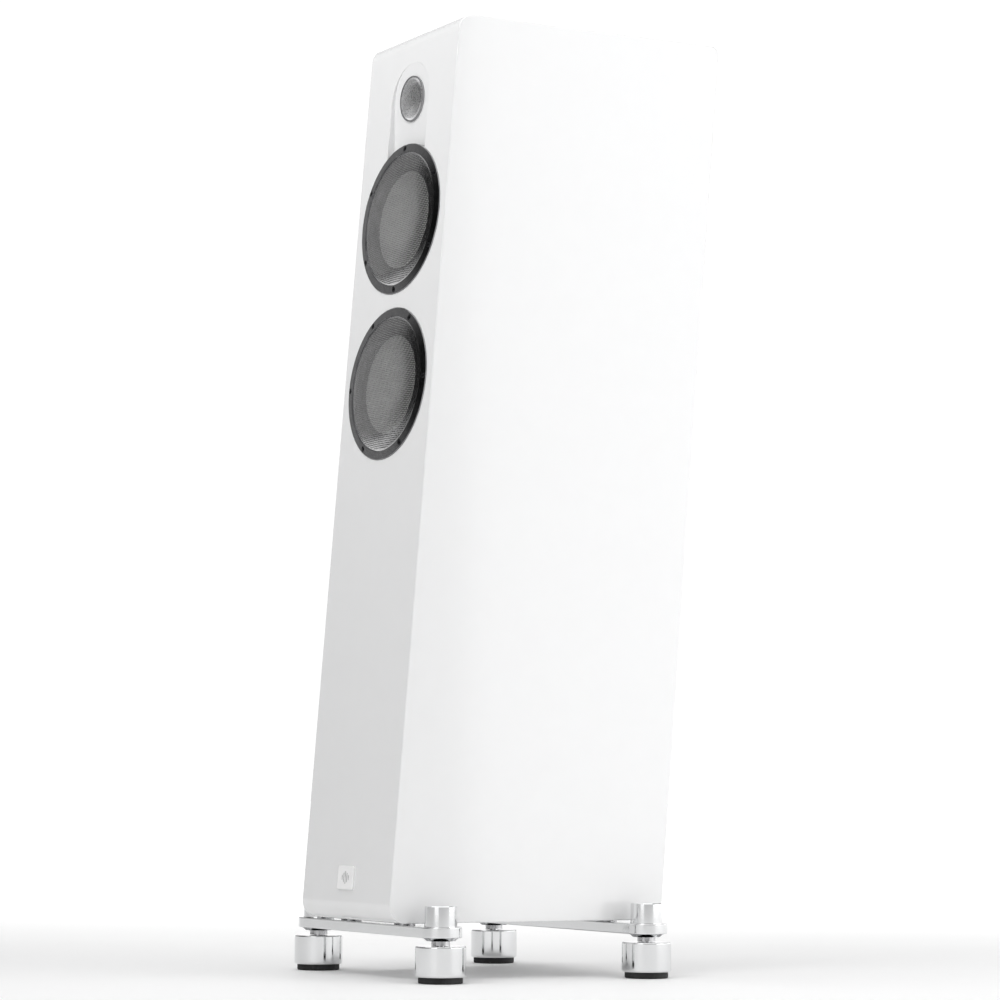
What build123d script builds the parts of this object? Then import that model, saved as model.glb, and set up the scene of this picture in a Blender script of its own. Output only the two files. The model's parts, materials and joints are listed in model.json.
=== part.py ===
"""Floorstanding loudspeaker: leaning, tapered cabinet on two outriggers with levelling feet.

Millimetres, +Z up, front towards -Y.  The origin is on the floor, in the middle of the
object's outline seen from above.
"""

import os
from math import cos, radians, sin, sqrt, tan

from build123d import *

os.makedirs("parts", exist_ok=True)

# ---------------------------------------------------------------- driving dimensions
# cabinet
CABINET_BASE = 64.0  # height of the underside above the floor
CABINET_HEIGHT = 1050.0
FRONT_WIDTH = 206.5
REAR_WIDTH = 271.5
DEPTH = 348.3
LEAN_DEG = 4.68
LEAN = radians(LEAN_DEG)
FRONT_ROUND = 20.0  # front edges along the width
REAR_ROUND = 10.0  # rear edges along the width
EDGE_ROUND = 1.5  # outline of the two side faces
BAFFLE = 24.0
BACK = 18.0
WALL = 18.0
TOP = 22.0
BOTTOM = 24.0
BRACE = 15.0
BRACE_HEIGHTS = (370.0, 724.0)  # window braces, along the leaning height
SHELF_HEIGHT = 925.0  # closed shelf under the tweeter chamber
BRACE_WINDOW = (110.0, 210.0, 24.0)  # width, depth, corner radius
LINING = 10.0
LINING_SPAN = (385.0, 710.0)

# badge, on the front face
BADGE_HEIGHT = 49.0
BADGE = (36.0, 27.0, 2.2)
BADGE_CHAMFER = 0.6
BADGE_GROOVES = (6.0, 11.0, 15.0, 11.0, 6.0)  # lengths, from left to right
GROOVE = (3.6, 1.4, 0.6)  # spacing, width, depth

# the outline is centred between its foremost point, on the badge, and its rearmost
ROUND_SETBACK = tan(LEAN) + 1 / cos(LEAN) - 1
BADGE_FOOT = BADGE_HEIGHT - BADGE[1] / 2 + BADGE_CHAMFER
FOREMOST = BADGE_FOOT * sin(LEAN) - BADGE[2] * cos(LEAN)
REARMOST = DEPTH + CABINET_HEIGHT * tan(LEAN) - REAR_ROUND * ROUND_SETBACK
FRONT_Y = -(FOREMOST + REARMOST) / 2

# outriggers and feet
FOOT_X = {"front": 141.8, "rear": 166.1}
FOOT_Y = {"front": FRONT_Y + 45.2, "rear": FRONT_Y + 306.1}
SIDES = {"left": -1, "right": 1}
BAR_BOTTOM = 50.0
BAR_TOP = 62.0
BAR_END_R = 24.0
BOSS_BOTTOM = 46.5
BOSS_R = (16.0, 20.5)
POST_R = 18.3
POST_TOP = 85.0
STUD_R = 5.0
STUD_TOP = 78.0
THREAD_GAP = 0.06
NUT_R = 10.5
NUT_BOTTOM = 41.3
HOUSING_R = 28.5
HOUSING_BOTTOM = 6.5
HOUSING_TOP = 40.8
PAD_R = 25.0
PAD_GAP = 0.1
PIVOT_R = 8.0
PIVOT_TOP = 16.0
BOLT_X = {"front": 62.0, "rear": 84.0}
BOLT_R = 4.0
BOLT_HOLE_R = 4.2
BOLT_TIP = CABINET_BASE + 18.0
BOLT_HEAD = (6.5, 6.0)  # radius, height
BOLT_SINK = (7.2, 6.5)  # radius, depth of the pocket round a bolt's head
BOLT_KEY = (3.2, 3.5)  # corner radius, depth of the hexagon
SPACER_R = 12.0

# woofers, measured along the leaning front face from its lower corner
WOOFER_HEIGHTS = {"upper": 823.6, "lower": 625.2}
WOOFER_SCREW_TURN = {"upper": 0.0, "lower": 30.0}
WOOFER_R = 90.5
FLANGE_FRONT = 0.8  # at its outer edge
FLANGE_CREST = 2.4  # at its inner edge
FLANGE_BACK = -9.2
WOOFER_CUTOUT_R = 79.0
SEAT_GAP = 0.4  # round a woofer's flange
BASKET_WINDOWS = ((-41, -19, 48), (-66, -50, 34))  # lower and upper height, width
WINDOW_CENTRE_R = 66.0
WINDOW_REACH = 40.0
WINDOW_COUNT = 6
SCREW_CIRCLE_R = 85.3
SCREW_COUNT = 6
GRILLE_R = 80.2
GRILLE_FLAT_R = 46.0
GRILLE_CROWN = 7.2
GRILLE_SKIN = 1.0
GRILLE_FOOT_R = 77.2  # inside of the foot that stands on the basket
GRILLE_SEAT = -1.2
GRILLE_SHOULDER = 1.0
CONE_R = 62.0
CONE_RIM = -5.6
CONE_DEPTH = 16.0
CONE_SKIN = 1.0
FORMER_R = (25.0, 25.6)
COIL_R = 26.2
COIL_LENGTH = 13.0
FORMER_END = -87.0
SPIDER_SEAT = -44.0
PLATE_FRONT = -76.0
MAGNET_FRONT = -84.0
MAGNET_BACK = -102.0
YOKE_BACK = -110.0

# tweeter, in an arched recess whose floor is upright
TWEETER_HEIGHT = 970.7
ARCH_R = 43.9
ARCH_FOOT = 900.0
TWEETER_R = 27.3
TWEETER_SEAT = -4.0
TWEETER_CUTOUT_R = 24.0
TWEETER_CUTOUT_DEPTH = 40.0
TWEETER_GRILLE_R = 25.6
TWEETER_CROWN = 7.0
TWEETER_SKIN = 0.6
DOME_R = 15.0
DOME_CROWN = 3.9
DOME_SKIN = 0.4
DOME_BASE = -2.0
DOME_COIL = (14.9, 14.4, -14.0, -2.2)  # outer and inner radius, lower and upper height

# passive radiators in the back
RADIATOR_HEIGHTS = {"upper": 760.0, "lower": 500.0}
RADIATOR_R = 110.0
RADIATOR_SEAT = -5.0
RADIATOR_CUTOUT_R = 98.0
RADIATOR_SCREW_R = 103.0
RADIATOR_SCREW_TURN = 22.5
DIAPHRAGM_R = 77.8

# terminals
TERMINAL_HEIGHT = 150.0
TERMINAL_PLATE = (120.0, 80.0, 4.0)
PLATE_CORNER_R = 6.0
PLATE_OPENING = (84.0, 50.0)
PLATE_SCREWS = (106.0, 66.0)  # spacing across and up
STEM_R = 3.0
POST_SPACING = 38.0
CORE_R = 4.0
CORE_GAP = 0.08
SOCKET_R = 2.05
SOCKET_DEPTH = 20.0
KNOB_R = 10.0
KNOB_FRONT = 11.2
KNOB_BACK = 33.0
FLUTES = 12
FLUTE_R = 1.7
FLUTE_CENTRE_R = KNOB_R + 0.8

# crossover
BOARD = (150.0, 120.0, 3.0)
STANDOFF = 6.0
STANDOFF_R = 4.0
BOARD_SCREWS = (136.0, 106.0)  # spacing across and in depth
COIL = (24.0, 11.0, 22.0)  # outer and inner radius, height
CAPACITOR = (11.0, 42.0)  # radius, height
RESISTOR = (10.0, 26.0, 10.0)
WIRE_R = 2.0

# ---------------------------------------------------------------- reference planes
UP = Vector(0, sin(LEAN), cos(LEAN))
front_face = Plane((0, FRONT_Y, CABINET_BASE), x_dir=(1, 0, 0), z_dir=(0, -cos(LEAN), sin(LEAN)))
rear_face = Plane((0, FRONT_Y + DEPTH, CABINET_BASE), x_dir=(-1, 0, 0), z_dir=(0, cos(LEAN), -sin(LEAN)))
top_inner = Plane.XY.offset(CABINET_BASE + CABINET_HEIGHT - TOP)
bottom_inner = Plane.XY.offset(CABINET_BASE + BOTTOM)
recess_floor_y = FRONT_Y + (TWEETER_HEIGHT + ARCH_R) * sin(LEAN)
tweeter_z = CABINET_BASE + TWEETER_HEIGHT * cos(LEAN)
tweeter_face = Plane((0, recess_floor_y, tweeter_z), x_dir=(1, 0, 0), z_dir=(0, -1, 0))


def side_plane(side):
    """Outer face of a side wall; side is -1 or 1, and the plane looks outwards."""
    flare = (REAR_WIDTH - FRONT_WIDTH) / 2
    normal = (side * DEPTH * cos(LEAN), -flare * cos(LEAN), flare * sin(LEAN))
    return Plane((side * FRONT_WIDTH / 2, FRONT_Y, CABINET_BASE), z_dir=normal)


def spot(face, x, height):
    """The plane of a face, with its origin moved to x and a height along the lean."""
    return Plane(face.from_local_coords((x, height, 0)), x_dir=face.x_dir, z_dir=face.z_dir)


def inside(x, depth, height):
    """A point in the cabinet: across, behind the front face, and up along the lean."""
    return front_face.from_local_coords((x, height, -depth))


def save(piece, name):
    piece.label = name
    export_step(piece, f"parts/{name}.step")


# ---------------------------------------------------------------- turned shapes
def axial_plane(face):
    """Plane through a face's axis: x is the radius and y points out of the face."""
    return Plane(face.origin, x_dir=face.x_dir, z_dir=-face.y_dir)


def turn(face, mode=Mode.ADD):
    revolve(axis=Axis(face.origin, face.z_dir), mode=mode)


def turned(face, outline):
    """A solid of revolution about a face's axis from (radius, height) points."""
    with BuildPart() as piece:
        with BuildSketch(axial_plane(face)):
            with BuildLine():
                Polyline(*outline, close=True)
            make_face()
        turn(face)
    return piece.part


def arc_height(radius, rim_radius, rise):
    """Height above its rim of a spherical cap, at a radius."""
    sphere = (rim_radius**2 + rise**2) / (2 * rise)
    return sqrt(sphere**2 - radius**2) - (sphere - rise)


def cap_arc(rim_radius, rim_height, rise):
    """Half of a spherical cap's section, from its rim to its axis."""
    middle = rim_radius / 2
    height = arc_height(middle, rim_radius, abs(rise)) * (1 if rise > 0 else -1)
    ThreePointArc((rim_radius, rim_height), (middle, rim_height + height), (0, rim_height + rise))


def roll_surround(face, outer_lip, outer_r, inner_r, inner_lip, base, skin):
    """Half-roll surround with flat lips, its lips' backs at the height base."""
    middle = (outer_r + inner_r) / 2
    roll = (outer_r - inner_r) / 2
    crest = base + skin
    with BuildPart() as piece:
        with BuildSketch(axial_plane(face)):
            with BuildLine():
                Line((outer_lip, crest), (outer_r, crest))
                ThreePointArc((outer_r, crest), (middle, crest + roll), (inner_r, crest))
                Polyline((inner_r, crest), (inner_lip, crest), (inner_lip, base))
                Polyline((inner_lip, base), (inner_r + skin, base), (inner_r + skin, crest))
                ThreePointArc(
                    (inner_r + skin, crest), (middle, crest + roll - skin), (outer_r - skin, crest)
                )
                Polyline((outer_r - skin, crest), (outer_r - skin, base), (outer_lip, base))
                Line((outer_lip, base), (outer_lip, crest))
            make_face()
        turn(face)
    return piece.part


def crowned_skin(face, rim, flat_r, crown, skin):
    """Grille shell: a flat middle, a circular slope, and a foot that widens inwards.

    rim is (outer radius, inner radius, foot height, height where the slope begins).
    """
    outer_r, inner_r, foot, shoulder = rim
    rise = crown - shoulder
    bend = ((outer_r - flat_r) ** 2 + rise**2) / (2 * rise)
    middle = (outer_r + flat_r) / 2
    sag = bend - sqrt(bend**2 - (middle - flat_r) ** 2)
    with BuildPart() as piece:
        with BuildSketch(axial_plane(face)):
            with BuildLine():
                Polyline((0, crown - skin), (0, crown), (flat_r, crown))
                ThreePointArc((flat_r, crown), (middle, crown - sag), (outer_r, shoulder))
                Polyline((outer_r, shoulder), (outer_r, foot), (inner_r, foot))
                Line((inner_r, foot), (inner_r, shoulder - skin))
                ThreePointArc(
                    (inner_r, shoulder - skin),
                    (middle - skin, crown - sag - skin),
                    (flat_r, crown - skin),
                )
                Line((flat_r, crown - skin), (0, crown - skin))
            make_face()
        turn(face)
    return piece.part


def ring_of_screws(face, circle_r, count, turn_deg, head, shank):
    """Screws on a circle; head and shank are (radius, lower height, upper height)."""
    with BuildPart() as screws:
        for radius, low, high in (head, shank):
            with BuildSketch(face.offset(low)):
                with PolarLocations(circle_r, count, start_angle=90 + turn_deg):
                    Circle(radius)
            extrude(amount=high - low)
        with BuildSketch(face.offset(head[2])):
            with PolarLocations(circle_r, count, start_angle=90 + turn_deg):
                RegularPolygon(head[0] * 0.5, 6)
        extrude(amount=(head[1] - head[2]) / 2, mode=Mode.SUBTRACT)
    return screws.part


def drill_ring(face, circle_r, count, turn_deg, radius, start, end):
    """Holes on a circle, cut from the part that is being built."""
    with BuildSketch(face.offset(start)) as holes:
        with PolarLocations(circle_r, count, start_angle=90 + turn_deg):
            Circle(radius)
    extrude(holes.sketch, amount=end - start, mode=Mode.SUBTRACT)


def bore(face, radius, start, end):
    """A round hole along a face's axis, cut from the part that is being built."""
    with BuildSketch(face.offset(start)) as hole:
        Circle(radius)
    extrude(hole.sketch, amount=end - start, mode=Mode.SUBTRACT)


# ---------------------------------------------------------------- cabinet
WOOFER_SHANK = (2.0, -22.0, -2.2)
WOOFER_HEAD = (3.1, -2.2, 0.9)
RADIATOR_SHANK = (1.8, -15.0, -1.8)
RADIATOR_HEAD = (3.0, -1.8, 0.4)
PLATE_SHANK = (1.8, -12.0, TERMINAL_PLATE[2])
PLATE_HEAD = (3.2, TERMINAL_PLATE[2], TERMINAL_PLATE[2] + 2.0)
SCREW_GAP = 0.05  # round a shank in wood
PASS_GAP = 0.1  # round a shank in metal
HEAD_GAP = 0.4
RADIATOR_SCREWS = 8
woofer_faces = {name: spot(front_face, 0, h) for name, h in WOOFER_HEIGHTS.items()}
radiator_faces = {name: spot(rear_face, 0, h) for name, h in RADIATOR_HEIGHTS.items()}
terminal_face = spot(rear_face, 0, TERMINAL_HEIGHT)

with BuildPart() as block:
    with BuildSketch(Plane.XY.offset(CABINET_BASE)):
        with BuildLine():
            Polyline(
                (-FRONT_WIDTH / 2, FRONT_Y),
                (FRONT_WIDTH / 2, FRONT_Y),
                (REAR_WIDTH / 2, FRONT_Y + DEPTH),
                (-REAR_WIDTH / 2, FRONT_Y + DEPTH),
                close=True,
            )
        make_face()
    extrude(amount=CABINET_HEIGHT / cos(LEAN), dir=UP)
    fillet(block.edges().filter_by(Axis.X).sort_by(Axis.Y)[:2], FRONT_ROUND)
    fillet(block.edges().filter_by(Axis.X).sort_by(Axis.Y)[-2:], REAR_ROUND)
    side_faces = block.faces().filter_by(GeomType.PLANE).sort_by(SortBy.AREA)[-2:]
    fillet(side_faces.edges(), EDGE_ROUND)

with BuildPart() as recess:
    with BuildSketch(front_face.offset(5)):
        with BuildLine():
            Line((-ARCH_R, ARCH_FOOT), (-ARCH_R, TWEETER_HEIGHT))
            ThreePointArc(
                (-ARCH_R, TWEETER_HEIGHT), (0, TWEETER_HEIGHT + ARCH_R), (ARCH_R, TWEETER_HEIGHT)
            )
            Polyline((ARCH_R, TWEETER_HEIGHT), (ARCH_R, ARCH_FOOT), (-ARCH_R, ARCH_FOOT))
        make_face()
    extrude(amount=-BAFFLE)
    split(bisect_by=tweeter_face, keep=Keep.TOP)

with BuildPart() as front_baffle:
    add(block.part)
    split(bisect_by=front_face.offset(-BAFFLE), keep=Keep.TOP)
    add(recess.part, mode=Mode.SUBTRACT)
    for name, face in woofer_faces.items():
        bore(face, WOOFER_R + SEAT_GAP, 1, FLANGE_BACK)
        bore(face, WOOFER_CUTOUT_R, 1, -BAFFLE - 1)
        shank_r = WOOFER_SHANK[0] + SCREW_GAP
        drill_ring(
            face, SCREW_CIRCLE_R, SCREW_COUNT, WOOFER_SCREW_TURN[name], shank_r, 0, WOOFER_SHANK[1]
        )
    bore(tweeter_face, TWEETER_R + 0.2, 1, TWEETER_SEAT)
    bore(tweeter_face, TWEETER_CUTOUT_R, 1, -TWEETER_CUTOUT_DEPTH)
save(front_baffle.part, "front_baffle")

with BuildPart() as back_panel:
    add(block.part)
    split(bisect_by=rear_face.offset(-BACK), keep=Keep.TOP)
    for face in radiator_faces.values():
        bore(face, RADIATOR_R + 0.3, 1, RADIATOR_SEAT)
        bore(face, RADIATOR_CUTOUT_R, 1, -BACK - 1)
        shank_r = RADIATOR_SHANK[0] + SCREW_GAP
        drill_ring(
            face,
            RADIATOR_SCREW_R,
            RADIATOR_SCREWS,
            RADIATOR_SCREW_TURN,
            shank_r,
            0,
            RADIATOR_SHANK[1],
        )
    with BuildSketch(terminal_face):
        RectangleRounded(*PLATE_OPENING, PLATE_CORNER_R)
    extrude(amount=-BACK - 5, mode=Mode.SUBTRACT)
    with BuildSketch(terminal_face):
        with GridLocations(*PLATE_SCREWS, 2, 2):
            Circle(PLATE_SHANK[0] + SCREW_GAP)
    extrude(amount=PLATE_SHANK[1], mode=Mode.SUBTRACT)
save(back_panel.part, "back_panel")

with BuildPart() as carcass:
    add(block.part)
    split(bisect_by=front_face.offset(-BAFFLE), keep=Keep.BOTTOM)
    split(bisect_by=rear_face.offset(-BACK), keep=Keep.BOTTOM)

with BuildPart() as top_panel:
    add(carcass.part)
    split(bisect_by=top_inner, keep=Keep.TOP)
save(top_panel.part, "top_panel")

with BuildPart() as bottom_panel:
    add(carcass.part)
    split(bisect_by=bottom_inner, keep=Keep.BOTTOM)
    for end in FOOT_X:
        with BuildSketch(Plane.XY.offset(CABINET_BASE)):
            with Locations((-BOLT_X[end], FOOT_Y[end]), (BOLT_X[end], FOOT_Y[end])):
                Circle(BOLT_R + SCREW_GAP)
        extrude(amount=BOLT_TIP - CABINET_BASE, mode=Mode.SUBTRACT)
save(bottom_panel.part, "bottom_panel")

for name, side in SIDES.items():
    with BuildPart() as side_panel:
        add(carcass.part)
        split(bisect_by=top_inner, keep=Keep.BOTTOM)
        split(bisect_by=bottom_inner, keep=Keep.TOP)
        split(bisect_by=side_plane(side).offset(-WALL), keep=Keep.TOP)
    save(side_panel.part, f"{name}_side_panel")

with BuildPart() as cavity:
    add(carcass.part)
    split(bisect_by=top_inner, keep=Keep.BOTTOM)
    split(bisect_by=bottom_inner, keep=Keep.TOP)
    for side in SIDES.values():
        split(bisect_by=side_plane(side).offset(-WALL), keep=Keep.BOTTOM)


def level(height):
    """Plane across the cabinet at a height along the lean, square to the front face."""
    return Plane(inside(0, 0, height), x_dir=(1, 0, 0), z_dir=UP)


def cavity_slice(low, high):
    """The part of the cavity between two heights along the lean."""
    with BuildPart() as piece:
        add(cavity.part)
        split(bisect_by=level(low), keep=Keep.TOP)
        split(bisect_by=level(high), keep=Keep.BOTTOM)
    return piece.part


WIRE_X = {"tweeter": -30.0, "upper": -42.0, "lower": -52.0}
WIRE_DEPTH = 200.0

with BuildPart() as cabinet_braces:
    for height in BRACE_HEIGHTS:
        add(cavity_slice(height - BRACE / 2, height + BRACE / 2))
        with BuildSketch(level(height - BRACE)):
            with Locations((0, DEPTH / 2)):
                RectangleRounded(*BRACE_WINDOW)
        extrude(amount=2 * BRACE, mode=Mode.SUBTRACT)
    add(cavity_slice(SHELF_HEIGHT - BRACE / 2, SHELF_HEIGHT + BRACE / 2))
    with BuildSketch(level(SHELF_HEIGHT - BRACE)):
        with Locations((WIRE_X["tweeter"], WIRE_DEPTH)):
            Circle(WIRE_R + 2)
    extrude(amount=2 * BRACE, mode=Mode.SUBTRACT)
save(cabinet_braces.part, "cabinet_braces")

with BuildPart() as wall_lining:
    for side in SIDES.values():
        with BuildPart(mode=Mode.PRIVATE) as sheet:
            add(cavity_slice(*LINING_SPAN))
            split(bisect_by=side_plane(side).offset(-WALL - LINING), keep=Keep.TOP)
        add(sheet.part)
save(wall_lining.part, "wall_lining")


# ---------------------------------------------------------------- woofers
def woofer_basket(face, screw_turn):
    """Cast basket: sloping flange, ledge for the surround, windowed cone and spider ledge."""
    outline = (
        (GRILLE_R + 0.2, FLANGE_CREST),
        (WOOFER_R, FLANGE_FRONT),
        (WOOFER_R, FLANGE_BACK),
        (77.5, FLANGE_BACK),
        (77.5, -16),
        (52, -68),
        (52, PLATE_FRONT),
        (30, PLATE_FRONT),
        (30, -72),
        (49, -72),
        (49, -68),
        (59.3, -47),
        (54, -47),
        (54, SPIDER_SEAT),
        (60.8, SPIDER_SEAT),
        (74.5, -16),
        (74.5, -12),
        (70, -12),
        (70, CONE_RIM),
        (77, CONE_RIM),
        (77, GRILLE_SEAT),
        (GRILLE_R + 0.2, GRILLE_SEAT),
    )
    with BuildPart() as basket:
        add(turned(face, outline))
        rim = basket.edges().filter_by(GeomType.CIRCLE).sort_by(SortBy.RADIUS)[-2:]
        chamfer(rim, 0.6)
        for low, high, width in BASKET_WINDOWS:
            with Locations(face.offset((low + high) / 2).location):
                with PolarLocations(WINDOW_CENTRE_R, WINDOW_COUNT, start_angle=60 + screw_turn):
                    Box(WINDOW_REACH, width, high - low, mode=Mode.SUBTRACT)
        head_r, shank_r = WOOFER_HEAD[0] + HEAD_GAP, WOOFER_SHANK[0] + PASS_GAP
        drill_ring(face, SCREW_CIRCLE_R, SCREW_COUNT, screw_turn, head_r, 3, WOOFER_HEAD[1])
        drill_ring(face, SCREW_CIRCLE_R, SCREW_COUNT, screw_turn, shank_r, 3, FLANGE_BACK - 1)
    return basket.part


def woofer_cone(face):
    """Concave ceramic dish with its voice-coil former and winding."""
    dish_r = CONE_R - 3.5
    with BuildPart() as cone:
        with BuildSketch(axial_plane(face)):
            with BuildLine():
                Line((CONE_R, CONE_RIM), (dish_r, CONE_RIM))
                cap_arc(dish_r, CONE_RIM, -CONE_DEPTH)
                Line((0, CONE_RIM - CONE_DEPTH), (0, CONE_RIM - CONE_DEPTH - CONE_SKIN))
                cap_arc(dish_r, CONE_RIM - CONE_SKIN, -CONE_DEPTH)
                Polyline(
                    (dish_r, CONE_RIM - CONE_SKIN), (CONE_R, CONE_RIM - CONE_SKIN), (CONE_R, CONE_RIM)
                )
            make_face()
        turn(face)
        neck = CONE_RIM - arc_height(FORMER_R[0], dish_r, CONE_DEPTH) - CONE_SKIN / 2
        with BuildSketch(face.offset(FORMER_END)):
            Circle(FORMER_R[1])
            Circle(FORMER_R[0], mode=Mode.SUBTRACT)
        extrude(amount=neck - FORMER_END)
        with BuildSketch(face.offset(FORMER_END)):
            Circle(COIL_R)
            Circle(FORMER_R[0], mode=Mode.SUBTRACT)
        extrude(amount=COIL_LENGTH)
    return cone.part


def corrugation(start_r, end_r, height, crest, count):
    """Alternating arcs along a radius, from one radius to another."""
    step = (end_r - start_r) / count
    for index in range(count):
        left = start_r + index * step
        peak = crest if index % 2 == 0 else -crest
        ThreePointArc((left, height), (left + step / 2, height + peak), (left + step, height))


def woofer_spider(face):
    """Corrugated centring disc between the former and the basket's ledge."""
    skin = 0.8
    inner, wave_start, wave_end, outer = FORMER_R[1] + 0.05, 28.0, 52.0, 60.0
    with BuildPart() as spider:
        with BuildSketch(axial_plane(face)):
            with BuildLine():
                Polyline((wave_start, SPIDER_SEAT), (inner, SPIDER_SEAT), (inner, SPIDER_SEAT + skin))
                Line((inner, SPIDER_SEAT + skin), (wave_start, SPIDER_SEAT + skin))
                corrugation(wave_start, wave_end, SPIDER_SEAT + skin, 1.6, 6)
                Polyline(
                    (wave_end, SPIDER_SEAT + skin), (outer, SPIDER_SEAT + skin), (outer, SPIDER_SEAT)
                )
                Line((outer, SPIDER_SEAT), (wave_end, SPIDER_SEAT))
                corrugation(wave_end, wave_start, SPIDER_SEAT, -1.6, 6)
            make_face()
        turn(face)
    return spider.part


def woofer_motor_steel(face):
    """Front plate, and the back plate with its vented pole."""
    front_plate = ((26.9, PLATE_FRONT), (54, PLATE_FRONT), (54, MAGNET_FRONT), (26.9, MAGNET_FRONT))
    yoke = (
        (8, -74),
        (24.4, -74),
        (24.4, MAGNET_BACK),
        (56, MAGNET_BACK),
        (56, YOKE_BACK),
        (8, YOKE_BACK),
    )
    with BuildPart() as steel:
        add(turned(face, front_plate))
        add(turned(face, yoke))
    return steel.part


MAGNET = ((32, MAGNET_FRONT), (58, MAGNET_FRONT), (58, MAGNET_BACK), (32, MAGNET_BACK))

with BuildPart() as woofer_screws:
    for name, face in woofer_faces.items():
        screw_turn = WOOFER_SCREW_TURN[name]
        add(ring_of_screws(face, SCREW_CIRCLE_R, SCREW_COUNT, screw_turn, WOOFER_HEAD, WOOFER_SHANK))
        save(woofer_basket(face, screw_turn), f"{name}_woofer_basket")
        rim = (GRILLE_R, GRILLE_FOOT_R, GRILLE_SEAT, GRILLE_SHOULDER)
        grille = crowned_skin(face, rim, GRILLE_FLAT_R, GRILLE_CROWN, GRILLE_SKIN)
        save(grille, f"{name}_woofer_grille")
        surround = roll_surround(face, 76.5, 70.5, 61.5, 58.5, CONE_RIM, 1.0)
        save(surround, f"{name}_woofer_surround")
        save(woofer_cone(face), f"{name}_woofer_cone")
        save(woofer_spider(face), f"{name}_woofer_spider")
        save(turned(face, MAGNET), f"{name}_woofer_magnet")
        save(woofer_motor_steel(face), f"{name}_woofer_motor_steel")
save(woofer_screws.part, "woofer_screws")

# ---------------------------------------------------------------- tweeter
TWEETER_BODY = (
    (TWEETER_R, 2.0),
    (25.8, 2.0),
    (25.8, 0.6),
    (21.0, 0.6),
    (21.0, -2.0),
    (18.6, -2.0),
    (18.6, -20),
    (23.6, -20),
    (23.6, -4),
    (TWEETER_R, -4),
)
TWEETER_MOTOR = (
    (0, -42),
    (22, -42),
    (22, -20),
    (18.4, -20),
    (18.4, -8),
    (15.4, -8),
    (15.4, -30),
    (14, -30),
    (14, -5),
    (0, -5),
)
save(turned(tweeter_face, TWEETER_BODY), "tweeter_body")
save(turned(tweeter_face, TWEETER_MOTOR), "tweeter_motor")
tweeter_rim = (TWEETER_GRILLE_R, 22.4, 0.6, 1.4)
tweeter_mesh = crowned_skin(tweeter_face, tweeter_rim, 1.0, TWEETER_CROWN, TWEETER_SKIN)
save(tweeter_mesh, "tweeter_grille")
tweeter_roll = roll_surround(tweeter_face, 20.6, 18.4, 15.6, 14.2, -2.0, 0.3)
save(tweeter_roll, "tweeter_surround")

cap_r = DOME_R - 1.0
dome_back = DOME_BASE - DOME_SKIN
with BuildPart() as tweeter_dome:
    with BuildSketch(axial_plane(tweeter_face)):
        with BuildLine():
            Line((DOME_R, DOME_BASE), (cap_r, DOME_BASE))
            cap_arc(cap_r, DOME_BASE, DOME_CROWN)
            Line((0, DOME_BASE + DOME_CROWN), (0, dome_back + DOME_CROWN))
            cap_arc(cap_r, dome_back, DOME_CROWN)
            Polyline((cap_r, dome_back), (DOME_R, dome_back), (DOME_R, DOME_BASE))
        make_face()
    turn(tweeter_face)
    with BuildSketch(tweeter_face.offset(DOME_COIL[2])):
        Circle(DOME_COIL[0])
        Circle(DOME_COIL[1], mode=Mode.SUBTRACT)
    extrude(amount=DOME_COIL[3] - DOME_COIL[2])
save(tweeter_dome.part, "tweeter_dome")

# ---------------------------------------------------------------- passive radiators
RADIATOR_FRAME = (
    (RADIATOR_R, 0.6),
    (94.3, 0.6),
    (94.3, -3.0),
    (88, -3.0),
    (88, -8),
    (97.5, -8),
    (97.5, RADIATOR_SEAT),
    (RADIATOR_R, RADIATOR_SEAT),
)
RADIATOR_DIAPHRAGM = (
    (0, -2.2),
    (72.0, -2.2),
    (72.8, -3.0),
    (DIAPHRAGM_R, -3.0),
    (DIAPHRAGM_R, -6),
    (25, -6),
    (25, -12),
    (0, -12),
)

with BuildPart() as rear_screws:
    for name, face in radiator_faces.items():
        head, shank = RADIATOR_HEAD, RADIATOR_SHANK
        circle_r, count, screw_turn = RADIATOR_SCREW_R, RADIATOR_SCREWS, RADIATOR_SCREW_TURN
        add(ring_of_screws(face, circle_r, count, screw_turn, head, shank))
        with BuildPart(mode=Mode.PRIVATE) as frame:
            add(turned(face, RADIATOR_FRAME))
            chamfer(frame.edges().filter_by(GeomType.CIRCLE).sort_by(SortBy.RADIUS)[-1], 0.5)
            drill_ring(face, circle_r, count, screw_turn, head[0] + HEAD_GAP, 1, head[1])
            drill_ring(face, circle_r, count, screw_turn, shank[0] + PASS_GAP, 1, RADIATOR_SEAT - 1)
        save(frame.part, f"{name}_radiator_frame")
        radiator_roll = roll_surround(face, 94.0, 88.5, 77.5, 73.5, -3.0, 1.0)
        save(radiator_roll, f"{name}_radiator_surround")
        save(turned(face, RADIATOR_DIAPHRAGM), f"{name}_radiator_diaphragm")
    for radius, low, high in (PLATE_HEAD, PLATE_SHANK):
        with BuildSketch(terminal_face.offset(low)):
            with GridLocations(*PLATE_SCREWS, 2, 2):
                Circle(radius)
        extrude(amount=high - low)
save(rear_screws.part, "rear_screws")

# ---------------------------------------------------------------- terminals
with BuildPart() as terminal_plate:
    with BuildSketch(terminal_face):
        RectangleRounded(TERMINAL_PLATE[0], TERMINAL_PLATE[1], PLATE_CORNER_R)
        with GridLocations(POST_SPACING, 1, 2, 1):
            Circle(STEM_R + SCREW_GAP, mode=Mode.SUBTRACT)
        with GridLocations(*PLATE_SCREWS, 2, 2):
            Circle(PLATE_SHANK[0] + SCREW_GAP, mode=Mode.SUBTRACT)
    extrude(amount=TERMINAL_PLATE[2])
    outward = Axis(terminal_face.origin, terminal_face.z_dir)
    chamfer(terminal_plate.faces().sort_by(outward)[-1].outer_wire().edges(), 1)
save(terminal_plate.part, "terminal_plate")

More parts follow.
